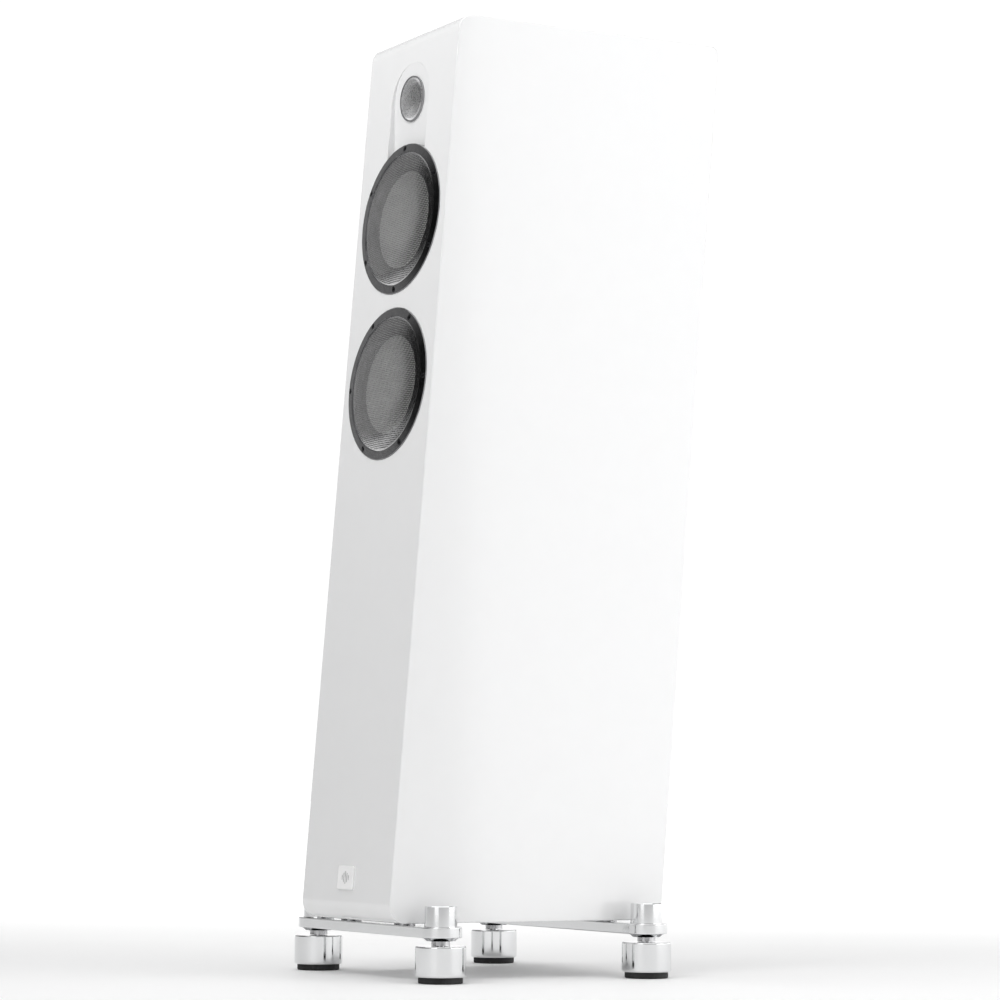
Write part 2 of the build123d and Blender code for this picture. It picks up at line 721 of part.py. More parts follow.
TERMINAL_CORE = (
    (0, -12),
    (STEM_R, -12),
    (STEM_R, TERMINAL_PLATE[2]),
    (8.5, TERMINAL_PLATE[2]),
    (8.5, 9),
    (CORE_R, 9),
    (CORE_R, KNOB_BACK - 1),
    (SOCKET_R, KNOB_BACK - 1),
    (SOCKET_R, KNOB_BACK - 1 - SOCKET_DEPTH),
    (0, KNOB_BACK - 1 - SOCKET_DEPTH),
)
COLLAR_BACK = KNOB_FRONT - 0.1
COLLAR = (
    (CORE_R + CORE_GAP, 9.1),
    (9, 9.1),
    (9, COLLAR_BACK),
    (CORE_R + CORE_GAP, COLLAR_BACK),
)

with BuildPart() as terminal_cores:
    for name, side in (("red", -1), ("black", 1)):
        face = spot(rear_face, side * POST_SPACING / 2, TERMINAL_HEIGHT)
        add(turned(face, TERMINAL_CORE))
        save(turned(face, COLLAR), f"{name}_collar")
        with BuildPart(mode=Mode.PRIVATE) as knob:
            with BuildSketch(face.offset(KNOB_FRONT)):
                Circle(KNOB_R)
                Circle(CORE_R + CORE_GAP, mode=Mode.SUBTRACT)
                with PolarLocations(FLUTE_CENTRE_R, FLUTES):
                    Circle(FLUTE_R, mode=Mode.SUBTRACT)
            extrude(amount=KNOB_BACK - KNOB_FRONT)
        save(knob.part, f"{name}_knob")
save(terminal_cores.part, "terminal_cores")

# ---------------------------------------------------------------- badge
with BuildPart() as badge:
    with BuildSketch(spot(front_face, 0, BADGE_HEIGHT)):
        RectangleRounded(BADGE[0], BADGE[1], 2)
    extrude(amount=BADGE[2])
    outer_edges = badge.faces().sort_by(Axis(front_face.origin, front_face.z_dir))[-1].edges()
    chamfer(outer_edges, BADGE_CHAMFER)
    with BuildSketch(spot(front_face, 0, BADGE_HEIGHT).offset(BADGE[2])):
        for index, length in enumerate(BADGE_GROOVES):
            with Locations(((index - 2) * GROOVE[0], 0)):
                SlotOverall(length, GROOVE[1], rotation=90)
    extrude(amount=-GROOVE[2], mode=Mode.SUBTRACT)
save(badge.part, "badge")

# ---------------------------------------------------------------- outriggers and feet
for end, reach in FOOT_X.items():
    centres = ((-reach, FOOT_Y[end]), (reach, FOOT_Y[end]))
    bolts = ((-BOLT_X[end], FOOT_Y[end]), (BOLT_X[end], FOOT_Y[end]))
    with BuildPart() as outrigger:
        with BuildSketch(Plane.XY.offset(BAR_BOTTOM)):
            with Locations((0, FOOT_Y[end])):
                SlotCenterToCenter(2 * reach, 2 * BAR_END_R)
        extrude(amount=BAR_TOP - BAR_BOTTOM)
        rims = outrigger.faces().filter_by(Axis.Z).edges()
        fillet(rims, 1.2)
        for centre in centres:
            with BuildSketch(Plane.XY.offset(BOSS_BOTTOM)):
                with Locations(centre):
                    Circle(BOSS_R[0])
            with BuildSketch(Plane.XY.offset(BAR_BOTTOM)):
                with Locations(centre):
                    Circle(BOSS_R[1])
            loft()
        with BuildSketch(Plane.XY.offset(BOSS_BOTTOM)):
            with Locations(*centres):
                Circle(STUD_R + THREAD_GAP)
        extrude(amount=BAR_TOP - BOSS_BOTTOM, mode=Mode.SUBTRACT)
        with BuildSketch(Plane.XY.offset(BAR_BOTTOM)):
            with Locations(*bolts):
                Circle(BOLT_HOLE_R)
        extrude(amount=BAR_TOP - BAR_BOTTOM, mode=Mode.SUBTRACT)
        with BuildSketch(Plane.XY.offset(BAR_BOTTOM)):
            with Locations(*bolts):
                Circle(BOLT_SINK[0])
        extrude(amount=BOLT_SINK[1], mode=Mode.SUBTRACT)
    save(outrigger.part, f"{end}_outrigger")

head_top = BAR_BOTTOM + BOLT_SINK[1]
head_bottom = head_top - BOLT_HEAD[1]
with BuildPart() as outrigger_fasteners:
    for end in FOOT_X:
        bolts = ((-BOLT_X[end], FOOT_Y[end]), (BOLT_X[end], FOOT_Y[end]))
        with BuildSketch(Plane.XY.offset(BAR_TOP)):
            with Locations(*bolts):
                Circle(SPACER_R)
                Circle(BOLT_HOLE_R, mode=Mode.SUBTRACT)
        extrude(amount=CABINET_BASE - BAR_TOP)
        with BuildSketch(Plane.XY.offset(head_bottom)):
            with Locations(*bolts):
                Circle(BOLT_HEAD[0])
        extrude(amount=BOLT_HEAD[1])
        with BuildSketch(Plane.XY.offset(head_top)):
            with Locations(*bolts):
                Circle(BOLT_R)
        extrude(amount=BOLT_TIP - head_top)
        with BuildSketch(Plane.XY.offset(head_bottom)):
            with Locations(*bolts):
                RegularPolygon(BOLT_KEY[0], 6)
        extrude(amount=BOLT_KEY[1], mode=Mode.SUBTRACT)
save(outrigger_fasteners.part, "outrigger_fasteners")

foot_spots = {
    f"{end}_{name}": (side * FOOT_X[end], FOOT_Y[end]) for end in FOOT_X for name, side in SIDES.items()
}

with BuildPart() as outrigger_posts:
    with BuildSketch(Plane.XY.offset(BAR_TOP)):
        with Locations(*foot_spots.values()):
            Circle(POST_R)
    extrude(amount=POST_TOP - BAR_TOP)
    chamfer(outrigger_posts.faces().sort_by(Axis.Z)[-4:].edges(), 0.8)
    with BuildSketch(Plane.XY.offset(BAR_TOP)):
        with Locations(*foot_spots.values()):
            Circle(STUD_R + 0.4)
    extrude(amount=STUD_TOP + 2 - BAR_TOP, mode=Mode.SUBTRACT)
save(outrigger_posts.part, "outrigger_posts")

with BuildPart() as lock_nuts:
    with BuildSketch(Plane.XY.offset(NUT_BOTTOM)):
        with Locations(*foot_spots.values()):
            RegularPolygon(NUT_R, 24)
            Circle(STUD_R + THREAD_GAP, mode=Mode.SUBTRACT)
    extrude(amount=BOSS_BOTTOM - NUT_BOTTOM)
save(lock_nuts.part, "lock_nuts")

for name, centre in foot_spots.items():
    axis_plane = Plane((centre[0], centre[1], 0))
    with BuildPart() as foot_housing:
        with BuildSketch(axis_plane.offset(HOUSING_BOTTOM)):
            Circle(HOUSING_R)
        extrude(amount=HOUSING_TOP - HOUSING_BOTTOM)
        fillet(foot_housing.edges().group_by(Axis.Z)[0], 3.0)
        fillet(foot_housing.edges().group_by(Axis.Z)[-1], 1.5)
        with BuildSketch(axis_plane.offset(HOUSING_BOTTOM)):
            Circle(PIVOT_R + 0.08)
        extrude(amount=PIVOT_TOP + 0.5 - HOUSING_BOTTOM, mode=Mode.SUBTRACT)
        with BuildSketch(axis_plane.offset(HOUSING_TOP)):
            Circle(STUD_R)
        extrude(amount=STUD_TOP - HOUSING_TOP)
        chamfer(foot_housing.edges().group_by(Axis.Z)[-1], 0.8)
    with BuildPart() as foot_pad:
        with BuildSketch(axis_plane):
            Circle(PAD_R)
        extrude(amount=HOUSING_BOTTOM - PAD_GAP)
        chamfer(foot_pad.edges().group_by(Axis.Z)[0], 0.8)
        with BuildSketch(axis_plane.offset(HOUSING_BOTTOM - PAD_GAP)):
            Circle(PIVOT_R)
        extrude(amount=PIVOT_TOP - HOUSING_BOTTOM + PAD_GAP)
    save(foot_housing.part, f"{name}_foot_housing")
    save(foot_pad.part, f"{name}_foot_pad")

# ---------------------------------------------------------------- crossover and wiring
board_z = CABINET_BASE + BOTTOM + STANDOFF
board_top = board_z + BOARD[2]
BOARD_Y = FRONT_Y + 178.0

with BuildPart() as crossover_board:
    with BuildSketch(Plane.XY.offset(board_z)):
        with Locations((0, BOARD_Y)):
            Rectangle(BOARD[0], BOARD[1])
    extrude(amount=BOARD[2])
    with BuildSketch(Plane.XY.offset(board_z)):
        with Locations((0, BOARD_Y)):
            with GridLocations(*BOARD_SCREWS, 2, 2):
                Circle(STANDOFF_R)
    extrude(amount=-STANDOFF)
save(crossover_board.part, "crossover_board")


def on_board(name, spots, draw, height, bore_r=0.0):
    """Upright components on the board: spots are (x, y) from the board's middle."""
    with BuildPart() as parts:
        with BuildSketch(Plane.XY.offset(board_top)):
            with Locations((0, BOARD_Y)):
                with Locations(*spots):
                    draw()
                    if bore_r:
                        Circle(bore_r, mode=Mode.SUBTRACT)
        extrude(amount=height)
    save(parts.part, name)


COILS = ((-46, -30), (46, -30), (0, 34))
CAPACITORS = ((-11.2, -44), (11.2, -44), (0, -18), (-40, 28), (40, 28))
RESISTORS = ((-66, 8), (66, 8), (-66, 40), (66, 40))
on_board("crossover_coils", COILS, lambda: Circle(COIL[0]), COIL[2], bore_r=COIL[1])
on_board("crossover_capacitors", CAPACITORS, lambda: Circle(CAPACITOR[0]), CAPACITOR[1])
on_board("crossover_resistors", RESISTORS, lambda: Rectangle(*RESISTOR[:2]), RESISTOR[2])


def wire(points, share=0.45):
    """Round wire along straight runs joined by arcs, as large as the runs allow."""
    radii = []
    for before, corner, after in zip(points, points[1:], points[2:]):
        run_in, run_out = corner - before, after - corner
        half_turn = radians(run_in.get_angle(run_out)) / 2
        radii.append(share * min(run_in.length, run_out.length) / tan(half_turn))
    with BuildPart() as piece:
        with BuildLine() as path:
            FilletPolyline(*points, radius=radii)
        with BuildSketch(Plane(origin=points[0], z_dir=points[1] - points[0])):
            Circle(WIRE_R)
        sweep(path=path.wires()[0])
    return piece.part


tweeter_back = Vector(-10, recess_floor_y + 42.5, tweeter_z)
with BuildPart() as wire_loom:
    for name in ("upper", "lower"):
        height = WOOFER_HEIGHTS[name]
        x = WIRE_X[name]
        add(
            wire(
                [
                    Vector(x, BOARD_Y + 52, board_top),
                    Vector(x, BOARD_Y + 52, board_top + 40),
                    inside(x, WIRE_DEPTH, 180),
                    inside(x, WIRE_DEPTH, height - 90),
                    inside(-65, 155, height - 30),
                    inside(-67, 110, height),
                    inside(-66, 72, height),
                    inside(-52.2, 72, height),
                ]
            )
        )
    add(
        wire(
            [
                Vector(WIRE_X["tweeter"], BOARD_Y + 52, board_top),
                Vector(WIRE_X["tweeter"], BOARD_Y + 52, board_top + 40),
                inside(WIRE_X["tweeter"], WIRE_DEPTH, 180),
                inside(WIRE_X["tweeter"], WIRE_DEPTH, 958),
                inside(WIRE_X["tweeter"] + 6, 150, 978),
                tweeter_back + Vector(-6, 50, 0),
                tweeter_back,
            ]
        )
    )
save(wire_loom.part, "wire_loom")
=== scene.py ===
"""Looks of the floorstanding loudspeaker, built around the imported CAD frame.

Metres, +Z up, front towards -Y, as in the frame.
"""

import json
from math import cos, pi, radians, sin, sqrt

import bpy
from mathutils import Matrix, Vector
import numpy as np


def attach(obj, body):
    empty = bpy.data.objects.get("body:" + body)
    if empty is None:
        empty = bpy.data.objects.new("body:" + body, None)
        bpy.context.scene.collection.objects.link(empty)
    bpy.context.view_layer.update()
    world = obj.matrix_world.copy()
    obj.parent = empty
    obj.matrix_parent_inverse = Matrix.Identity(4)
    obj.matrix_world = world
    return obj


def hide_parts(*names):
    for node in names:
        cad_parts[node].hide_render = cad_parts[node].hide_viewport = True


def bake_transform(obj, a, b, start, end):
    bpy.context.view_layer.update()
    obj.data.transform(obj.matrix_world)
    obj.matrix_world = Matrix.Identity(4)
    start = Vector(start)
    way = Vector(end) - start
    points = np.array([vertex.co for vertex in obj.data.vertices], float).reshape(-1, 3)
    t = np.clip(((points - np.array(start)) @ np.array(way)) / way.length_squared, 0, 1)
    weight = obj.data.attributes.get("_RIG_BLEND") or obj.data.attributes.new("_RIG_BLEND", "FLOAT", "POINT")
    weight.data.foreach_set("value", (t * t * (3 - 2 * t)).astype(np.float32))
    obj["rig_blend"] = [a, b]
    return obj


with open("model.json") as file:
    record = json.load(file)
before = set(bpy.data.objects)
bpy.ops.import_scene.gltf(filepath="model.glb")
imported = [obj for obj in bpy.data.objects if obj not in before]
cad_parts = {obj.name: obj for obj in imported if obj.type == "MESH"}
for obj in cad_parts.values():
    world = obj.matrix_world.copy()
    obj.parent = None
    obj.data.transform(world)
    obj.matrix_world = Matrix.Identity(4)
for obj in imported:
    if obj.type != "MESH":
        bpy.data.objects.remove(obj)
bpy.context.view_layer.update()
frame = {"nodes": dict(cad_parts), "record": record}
nodes = frame["nodes"]

MM = 0.001
LEAN = radians(4.68)
OUT_FRONT = Vector((0, -cos(LEAN), sin(LEAN)))  # normals of the leaning faces
OUT_REAR = Vector((0, cos(LEAN), -sin(LEAN)))
OUT_TWEETER = Vector((0, -1, 0))


# ---------------------------------------------------------------- node materials
class Graph:
    """Helpers that add nodes to a tree; place is the coordinate that its patterns lie in."""

    def __init__(self, tree, coordinate):
        self.tree = tree
        self.place = self.add("ShaderNodeTexCoord").outputs[coordinate]

    def add(self, kind, **settings):
        node = self.tree.nodes.new(kind)
        for key, value in settings.items():
            setattr(node, key, value)
        return node

    def link(self, output, target):
        self.tree.links.new(output, target)
        return self

    def along(self, direction):
        """How far a point lies along a direction."""
        node = self.add("ShaderNodeVectorMath", operation="DOT_PRODUCT")
        node.inputs[1].default_value = direction
        self.link(self.place, node.inputs[0])
        return node.outputs["Value"]

    def ramped(self, value, start, end, low=0.0, high=1.0, kind="LINEAR"):
        """Takes start to low and end to high, and stays at those beyond."""
        node = self.add("ShaderNodeMapRange", interpolation_type=kind)
        for key, number in (("From Min", start), ("From Max", end), ("To Min", low), ("To Max", high)):
            node.inputs[key].default_value = number
        self.link(value, node.inputs["Value"])
        return node.outputs["Result"]


NOISE_LOW, NOISE_HIGH = 0.3, 0.7  # values between which most of a noise lies


class Surface(Graph):
    """A Principled material with helpers that add textures to its inputs."""

    def __init__(self, name, **inputs):
        self.material = bpy.data.materials.new(name)
        self.material.use_nodes = True
        super().__init__(self.material.node_tree, "Object")
        self.shader = self.tree.nodes["Principled BSDF"]
        for key, value in inputs.items():
            self.shader.inputs[key.replace("_", " ")].default_value = value
        self.height = None

    def stretched(self, scale):
        """Coordinates scaled per axis, for grain that runs one way."""
        mapping = self.add("ShaderNodeMapping")
        mapping.inputs["Scale"].default_value = scale
        self.link(self.place, mapping.inputs["Vector"])
        return mapping.outputs["Vector"]

    def noise(self, scale, detail=2.0, place=None, distortion=0.0):
        node = self.add("ShaderNodeTexNoise")
        node.inputs["Scale"].default_value = scale
        node.inputs["Detail"].default_value = detail
        node.inputs["Distortion"].default_value = distortion
        self.link(place or self.place, node.inputs["Vector"])
        return node.outputs["Fac"]

    def cells(self, scale):
        node = self.add("ShaderNodeTexVoronoi")
        node.inputs["Scale"].default_value = scale
        self.link(self.place, node.inputs["Vector"])
        return node.outputs["Distance"]

    def waves(self, scale, direction, distortion):
        node = self.add("ShaderNodeTexWave", wave_type="BANDS", bands_direction=direction)
        node.inputs["Scale"].default_value = scale
        node.inputs["Distortion"].default_value = distortion
        self.link(self.place, node.inputs["Vector"])
        return node.outputs["Fac"]

    def colour(self, pattern, dark, light, low=NOISE_LOW, high=NOISE_HIGH):
        """Blends two colours by a pattern and wires them to the base colour."""
        ramp = self.add("ShaderNodeValToRGB")
        for stop, place, tone in zip(ramp.color_ramp.elements, (low, high), (dark, light)):
            stop.position = place
            stop.color = (*tone, 1)
        self.link(pattern, ramp.inputs["Fac"])
        return self.link(ramp.outputs["Color"], self.shader.inputs["Base Color"])

    def roughness(self, pattern, low, high):
        spread = self.ramped(pattern, NOISE_LOW, NOISE_HIGH, low, high)
        return self.link(spread, self.shader.inputs["Roughness"])

    def relief(self, pattern, depth, strength):
        """Bump of a depth in millimetres; a second call lies on top of the first."""
        bump = self.add("ShaderNodeBump")
        bump.inputs["Distance"].default_value = depth * MM
        bump.inputs["Strength"].default_value = strength
        self.link(pattern, bump.inputs["Height"])
        if self.height:
            self.link(self.height, bump.inputs["Normal"])
        self.height = bump.outputs["Normal"]
        return self.link(self.height, self.shader.inputs["Normal"])


def lacquer():
    s = Surface("white_lacquer", Coat_Weight=1.0, Coat_Roughness=0.08, Coat_IOR=1.5)
    s.colour(s.noise(45.0, detail=1.0), (0.872, 0.874, 0.877), (0.878, 0.88, 0.883))
    s.roughness(s.noise(60.0, detail=1.0), low=0.24, high=0.27)
    return s.relief(s.noise(320.0, detail=1.0), depth=0.02, strength=0.25)


def polished_metal():
    s = Surface("polished_metal", Metallic=1.0)
    s.colour(s.noise(12.0), (0.74, 0.745, 0.75), (0.80, 0.805, 0.81))
    s.roughness(s.noise(90.0, detail=4.0, place=s.stretched((1, 1, 6))), low=0.03, high=0.075)
    return s.relief(s.waves(420.0, "Z", distortion=0.4), depth=0.004, strength=0.3)


def coated_casting():
    s = Surface("coated_casting", Metallic=1.0)
    s.colour(s.noise(160.0, detail=4.0), (0.22, 0.22, 0.225), (0.28, 0.28, 0.285))
    s.roughness(s.noise(60.0), low=0.13, high=0.19)
    return s.relief(s.cells(1400.0), depth=0.06, strength=0.35)


def grille_steel():
    s = Surface("grille_steel", Metallic=1.0)
    s.colour(s.noise(70.0, detail=3.0), (0.58, 0.58, 0.585), (0.66, 0.66, 0.665))
    s.roughness(s.noise(300.0), low=0.18, high=0.26)
    return s.relief(s.noise(2500.0, detail=1.0), depth=0.03, strength=0.3)


def tweeter_steel():
    s = Surface("tweeter_steel", Metallic=0.85)
    s.colour(s.noise(140.0, detail=3.0), (0.80, 0.80, 0.81), (0.90, 0.90, 0.91))
    s.roughness(s.noise(500.0), low=0.24, high=0.34)
    return s.relief(s.noise(1800.0, detail=1.0), depth=0.008, strength=0.3)


def tweeter_metal():
    s = Surface("tweeter_metal", Metallic=0.8)
    s.colour(s.noise(90.0, detail=3.0), (0.34, 0.34, 0.35), (0.42, 0.42, 0.43))
    s.roughness(s.noise(400.0), low=0.32, high=0.45)
    return s.relief(s.cells(1800.0), depth=0.03, strength=0.3)


def ceramic():
    s = Surface("ceramic", Specular_IOR_Level=0.5)
    s.colour(s.noise(40.0, detail=3.0), (0.70, 0.70, 0.69), (0.80, 0.80, 0.79))
    s.roughness(s.noise(120.0), low=0.42, high=0.58)
    return s.relief(s.cells(700.0), depth=0.04, strength=0.4)


def soft_rubber(name, dark, light, rough):
    s = Surface(name, Specular_IOR_Level=0.4)
    s.colour(s.noise(110.0, detail=4.0), dark, light)
    s.roughness(s.noise(60.0), *rough)
    return s.relief(s.noise(1600.0, detail=2.0), depth=0.04, strength=0.5)


def felt():
    s = Surface("felt", Roughness=0.95, Sheen_Weight=0.3)
    s.colour(s.noise(220.0, detail=6.0, distortion=1.5), (0.16, 0.16, 0.165), (0.36, 0.36, 0.37))
    return s.relief(s.noise(500.0, detail=5.0, distortion=2.0), depth=0.4, strength=0.8)


def fibreboard():
    s = Surface("fibreboard")
    s.colour(s.noise(420.0, detail=5.0), (0.40, 0.29, 0.18), (0.58, 0.45, 0.30))
    s.roughness(s.noise(200.0), low=0.75, high=0.9)
    return s.relief(s.noise(900.0, detail=3.0), depth=0.1, strength=0.5)


def spider_cloth():
    s = Surface("spider_cloth", Sheen_Weight=0.2)
    s.colour(s.cells(900.0), (0.42, 0.30, 0.12), (0.66, 0.50, 0.22), low=0.1, high=0.8)
    s.roughness(s.noise(300.0), low=0.7, high=0.85)
    return s.relief(s.cells(1200.0), depth=0.1, strength=0.7)


def metal(name, dark, light, rough, grain=150.0, stretch=(1, 1, 1)):
    """Machined metal: clouding coarser and bump finer than the grain of its roughness."""
    s = Surface(name, Metallic=1.0)
    s.colour(s.noise(grain / 3, detail=4.0), dark, light)
    s.roughness(s.noise(grain, detail=4.0, place=s.stretched(stretch)), *rough)
    return s.relief(s.noise(grain * 8, detail=2.0, place=s.stretched(stretch)), depth=0.01, strength=0.3)


def spun_aluminium():
    s = metal("spun_aluminium", (0.33, 0.33, 0.34), (0.41, 0.41, 0.42), (0.28, 0.4), grain=60.0)
    return s.relief(s.noise(700.0, detail=2.0), depth=0.02, strength=0.4)


BADGE_PAINT_DEPTH = (0.5 * MM, 0.3 * MM)  # below the face; painted beyond the first, bare above the second
BADGE_MARK_R = (11 * MM, 12 * MM)  # the paint ends between these distances from the badge's middle
BADGE_CLOUDING = 0.1


def grooved_plate():
    """Pale satin plate with dark paint in the grooves of its front face."""
    s = Surface("badge_metal", Metallic=0.05)
    corners = [vertex.co for vertex in nodes["badge"].data.vertices]
    face = max(corner.dot(OUT_FRONT) for corner in corners)
    distance = s.add("ShaderNodeVectorMath", operation="DISTANCE")
    distance.inputs[1].default_value = sum(corners, Vector()) / len(corners)
    s.link(s.place, distance.inputs[0])
    bare = s.add("ShaderNodeMath", operation="MAXIMUM")
    s.link(s.ramped(s.along(OUT_FRONT), *[face - depth for depth in BADGE_PAINT_DEPTH]), bare.inputs[0])
    s.link(s.ramped(distance.outputs["Value"], *BADGE_MARK_R), bare.inputs[1])
    clouded = s.add("ShaderNodeMath", operation="MULTIPLY_ADD")
    clouded.inputs[1].default_value = BADGE_CLOUDING
    s.link(s.noise(90.0, detail=3.0), clouded.inputs[0])
    s.link(bare.outputs["Value"], clouded.inputs[2])
    s.colour(clouded.outputs["Value"], (0.06, 0.06, 0.063), (0.97, 0.97, 0.97), low=0.05, high=1.0)
    s.roughness(s.noise(300.0, place=s.stretched((6, 1, 1))), low=0.32, high=0.42)
    return s.relief(s.noise(900.0, detail=2.0, place=s.stretched((8, 1, 1))), depth=0.006, strength=0.3)


def plastic(name, dark, light, rough, grain, depth):
    """Moulded or cast material; depth is its bump's in millimetres."""
    s = Surface(name, Specular_IOR_Level=0.5)
    s.colour(s.noise(grain / 6, detail=3.0), dark, light)
    s.roughness(s.noise(grain / 3), *rough)
    return s.relief(s.noise(grain, detail=2.0), depth, strength=0.4)


def ferrite():
    s = Surface("ferrite")
    s.colour(s.noise(500.0, detail=5.0), (0.05, 0.05, 0.053), (0.10, 0.10, 0.105))
    s.roughness(s.noise(150.0), low=0.6, high=0.8)
    return s.relief(s.noise(1200.0, detail=3.0), depth=0.08, strength=0.5)


LOOKS = {
    "lacquer": lacquer(),
    "fibreboard": fibreboard(),
    "felt": felt(),
    "polished_metal": polished_metal(),
    "black_steel": metal("black_steel", (0.05, 0.05, 0.055), (0.10, 0.10, 0.11), (0.3, 0.45)),
    "satin_steel": metal("satin_steel", (0.46, 0.46, 0.47), (0.58, 0.58, 0.59), (0.2, 0.32)),
    "foot_rubber": soft_rubber("foot_rubber", (0.012, 0.012, 0.012), (0.025, 0.025, 0.026), (0.6, 0.8)),
    "basket_black": coated_casting(),
    "grille_mesh": grille_steel(),
    "surround_rubber": soft_rubber(
        "surround_rubber", (0.014, 0.014, 0.015), (0.03, 0.03, 0.032), (0.5, 0.65)
    ),
    "ceramic": ceramic(),
    "spider_cloth": spider_cloth(),
    "ferrite": ferrite(),
    "motor_steel": metal("motor_steel", (0.38, 0.38, 0.40), (0.52, 0.52, 0.54), (0.3, 0.5)),
    "tweeter_metal": tweeter_metal(),
    "tweeter_mesh": tweeter_steel(),
    "radiator_aluminium": spun_aluminium(),
    "terminal_plastic": plastic(
        "terminal_plastic", (0.02, 0.02, 0.022), (0.04, 0.04, 0.042), (0.45, 0.6), grain=1500.0, depth=0.06
    ),
    "terminal_brass": metal("gold_plate", (0.80, 0.56, 0.22), (0.92, 0.70, 0.34), (0.12, 0.22)),
    "red_plastic": plastic(
        "red_plastic", (0.42, 0.008, 0.01), (0.5, 0.014, 0.016), (0.18, 0.28), grain=600.0, depth=0.02
    ),
    "black_plastic": plastic(
        "black_plastic", (0.01, 0.01, 0.011), (0.02, 0.02, 0.021), (0.18, 0.28), grain=600.0, depth=0.02
    ),
    "badge_metal": grooved_plate(),
    "circuit_board": plastic(
        "circuit_board", (0.01, 0.09, 0.035), (0.02, 0.14, 0.055), (0.3, 0.45), grain=400.0, depth=0.04
    ),
    "copper": metal(
        "copper_winding", (0.62, 0.24, 0.10), (0.80, 0.36, 0.17), (0.25, 0.4), grain=300.0, stretch=(1, 1, 12)
    ),
    "capacitor_film": plastic(
        "capacitor_film", (0.55, 0.36, 0.06), (0.70, 0.48, 0.10), (0.2, 0.3), grain=500.0, depth=0.02
    ),
    "resistor_cement": plastic(
        "resistor_cement", (0.62, 0.61, 0.57), (0.76, 0.75, 0.70), (0.7, 0.85), grain=900.0, depth=0.08
    ),
    "wire_sleeve": soft_rubber("wire_sleeve", (0.05, 0.05, 0.055), (0.10, 0.10, 0.11), (0.45, 0.6)),
}


def dress(piece, slot):
    piece.data.materials.clear()
    piece.data.materials.append(LOOKS[slot].material)


for part in frame["record"]["subparts"]:
    dress(nodes[part["node"]], part["material_slot"])


# ---------------------------------------------------------------- mesh helpers
def axes(origin, out):
    """Matrix whose z is the outward normal, x is the frame's +X and the origin is given."""
    right = Vector((1, 0, 0))
    up = out.cross(right)
    basis = Matrix((right, up, out)).transposed().to_4x4()
    return Matrix.Translation(origin) @ basis


def turned_face(node, out, top):
    """Place of the face that a turned node sits in, top being its highest point over that face."""
    right = Vector((1, 0, 0))
    up = out.cross(right)
    matrix = nodes[node].matrix_world
    points = [matrix @ vertex.co for vertex in nodes[node].data.vertices]
    origin = out * (max(point.dot(out) for point in points) - top)
    for direction in (right, up):
        along = [point.dot(direction) for point in points]
        origin += direction * (max(along) + min(along)) / 2
    return axes(origin, out)


CREASE = radians(35)  # edges that turn more than this stay sharp


def mesh_piece(name, points, faces, place, slot, smooth=True):
    data = bpy.data.meshes.new(name)
    data.from_pydata(points, [], faces)
    data.transform(place)
    data.update()
    for polygon in data.polygons:
        polygon.use_smooth = smooth
    if smooth:
        data.set_sharp_from_angle(angle=CREASE)
    piece = bpy.data.objects.new(name, data)
    bpy.context.scene.collection.objects.link(piece)
    dress(piece, slot)
    return piece


RIM_SEGMENTS = 128
ROLL_SEGMENTS = 160


def revolved(name, outline, place, slot, segments=RIM_SEGMENTS):
    """A closed outline of (radius, height) points, turned about the axis."""
    count = len(outline)
    points, faces = [], []
    for step in range(segments):
        angle = 2 * pi * step / segments
        points += [(r * cos(angle), r * sin(angle), h) for r, h in outline]
    for step in range(segments):
        here, there = step * count, (step + 1) % segments * count
        for index in range(count):
            after = (index + 1) % count
            faces.append((here + index, there + index, there + after, here + after))
    return mesh_piece(name, points, faces, place, slot)


ARC_STEPS = 24


def arc(centre, radius, start_deg, end_deg):
    """Points of a circular arc in (radius, height), both ends included."""
    turns = [radians(start_deg + (end_deg - start_deg) * i / ARC_STEPS) for i in range(ARC_STEPS + 1)]
    return [(centre[0] + radius * cos(t), centre[1] + radius * sin(t)) for t in turns]


# ---------------------------------------------------------------- perforated grilles
def hexagon(x, y, size):
    """Corners of a hexagon with one corner straight up; size is centre to corner."""
    return [(x + size * sin(k * pi / 3), y + size * cos(k * pi / 3)) for k in range(6)]


MERGE_STEPS = 60  # points of a sheet closer than this part of its pitch are one


def perforated(name, place, slot, reach, height, pitch, opening, thickness):
    """Sheet of hexagonal openings within a radius, raised to height(radius)."""
    corner = pitch / sqrt(3)
    hole = opening / sqrt(3)
    rows = int(reach / (pitch * sqrt(3) / 2)) + 1
    columns = int(reach / pitch) + 1
    points, faces, known = [], [], {}

    def vertex(x, y):
        key = (round(x / pitch * MERGE_STEPS), round(y / pitch * MERGE_STEPS))
        if key not in known:
            known[key] = len(points)
            points.append((x, y, height(sqrt(x * x + y * y))))
        return known[key]

    for row in range(-rows, rows + 1):
        for column in range(-columns, columns + 1):
            x = (column + 0.5 * (row % 2)) * pitch
            y = row * pitch * sqrt(3) / 2
            if sqrt(x * x + y * y) > reach:
                continue
            outer = [vertex(*p) for p in hexagon(x, y, corner)]
            inner = [vertex(*p) for p in hexagon(x, y, hole)]
            for k in range(6):
                after = (k + 1) % 6
                faces.append((outer[after], outer[k], inner[k], inner[after]))
    piece = mesh_piece(name, points, faces, place, slot, smooth=False)
    solidify = piece.modifiers.new("thickness", "SOLIDIFY")
    solidify.thickness = thickness
    solidify.offset = -1
    return piece


